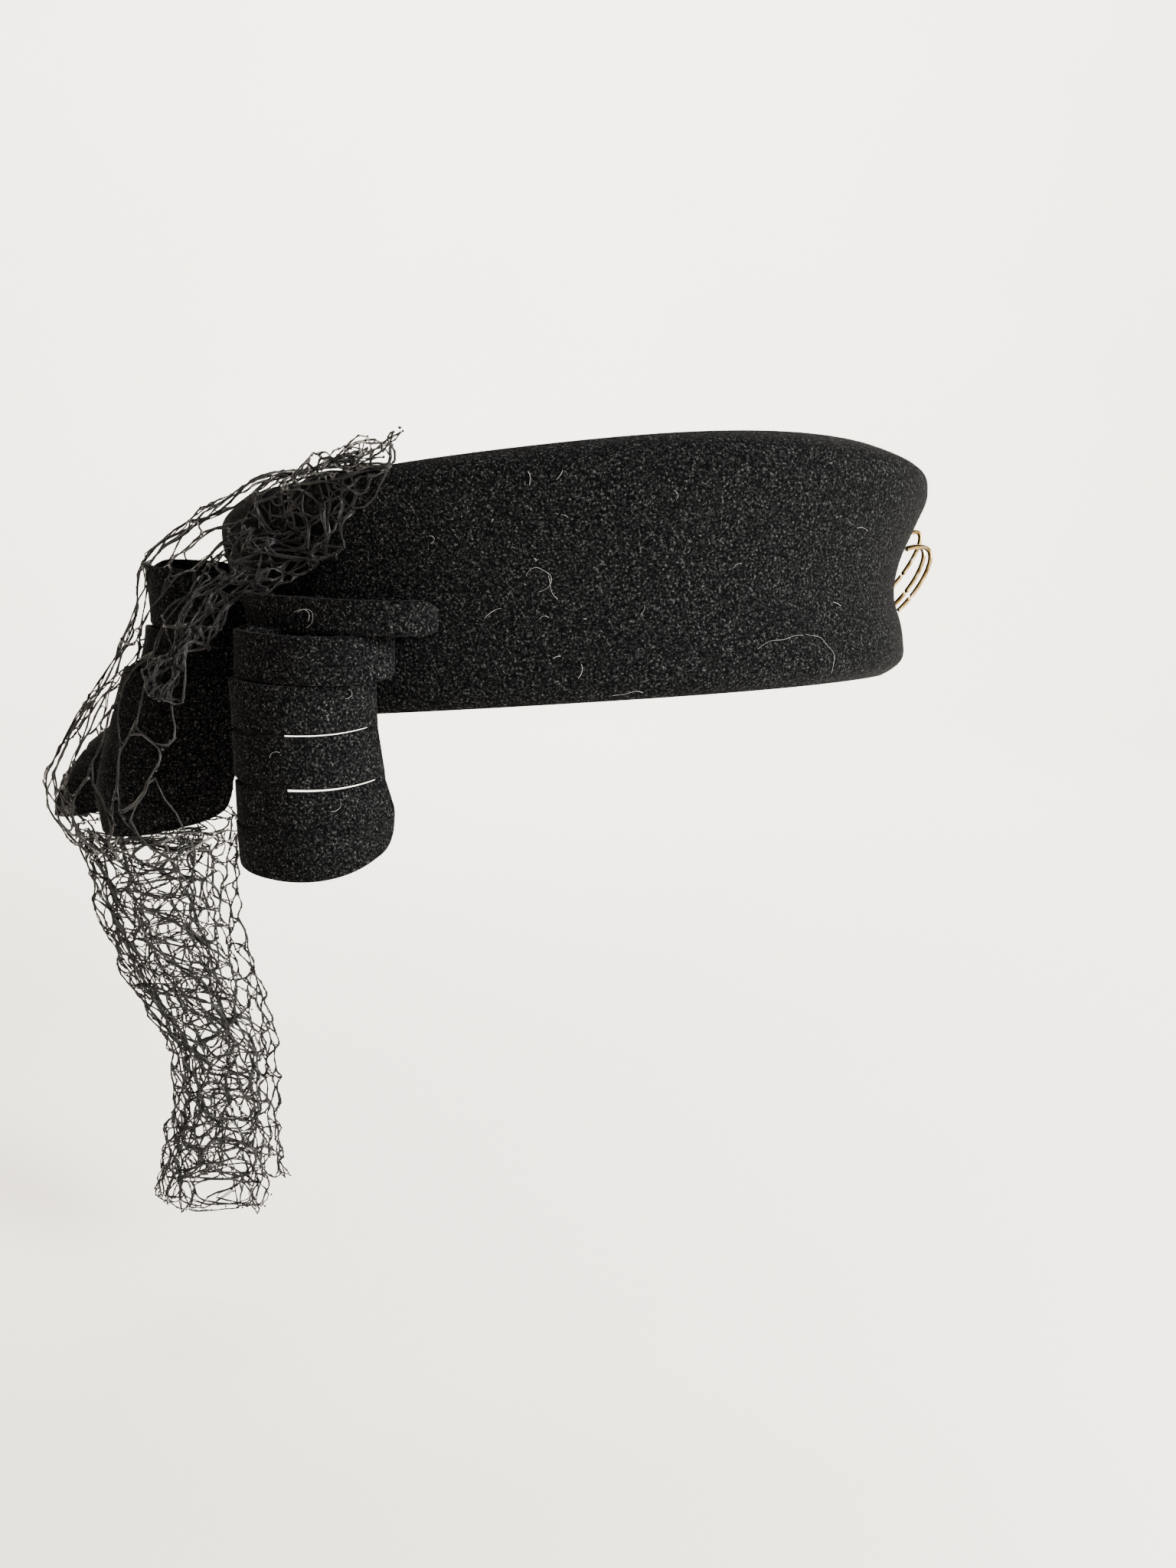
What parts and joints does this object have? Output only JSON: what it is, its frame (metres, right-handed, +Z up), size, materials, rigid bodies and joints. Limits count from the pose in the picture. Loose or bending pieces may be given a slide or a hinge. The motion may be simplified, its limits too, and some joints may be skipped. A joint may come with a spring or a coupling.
{
  "type": "fascinator hat",
  "caption": "Black felt tilt hat with slit felt curls round the back, a coarse net veil that hangs on as a tail, and gold-tone wire loops.",
  "frame": {"origin": "centre of the head opening, where the hat sits on a head", "axes": "+X towards the front of the hat, +Y towards its far side, which sits lower, +Z up as worn"},
  "size_m": [0.3321, 0.2194, 0.3096],
  "materials": {
    "felt": "matt black wool felt with a short nap",
    "net": "matt black crinkled thread",
    "wire": "polished gold tone"
  },
  "bodies": {
    "root": {"crown": "felt", "near_curl": "felt", "middle_curl": "felt", "far_curl": "felt", "net_veil": "net", "wire_loop_front": "wire", "wire_loop_middle": "wire", "wire_loop_back": "wire"}
  },
  "joints": []
}
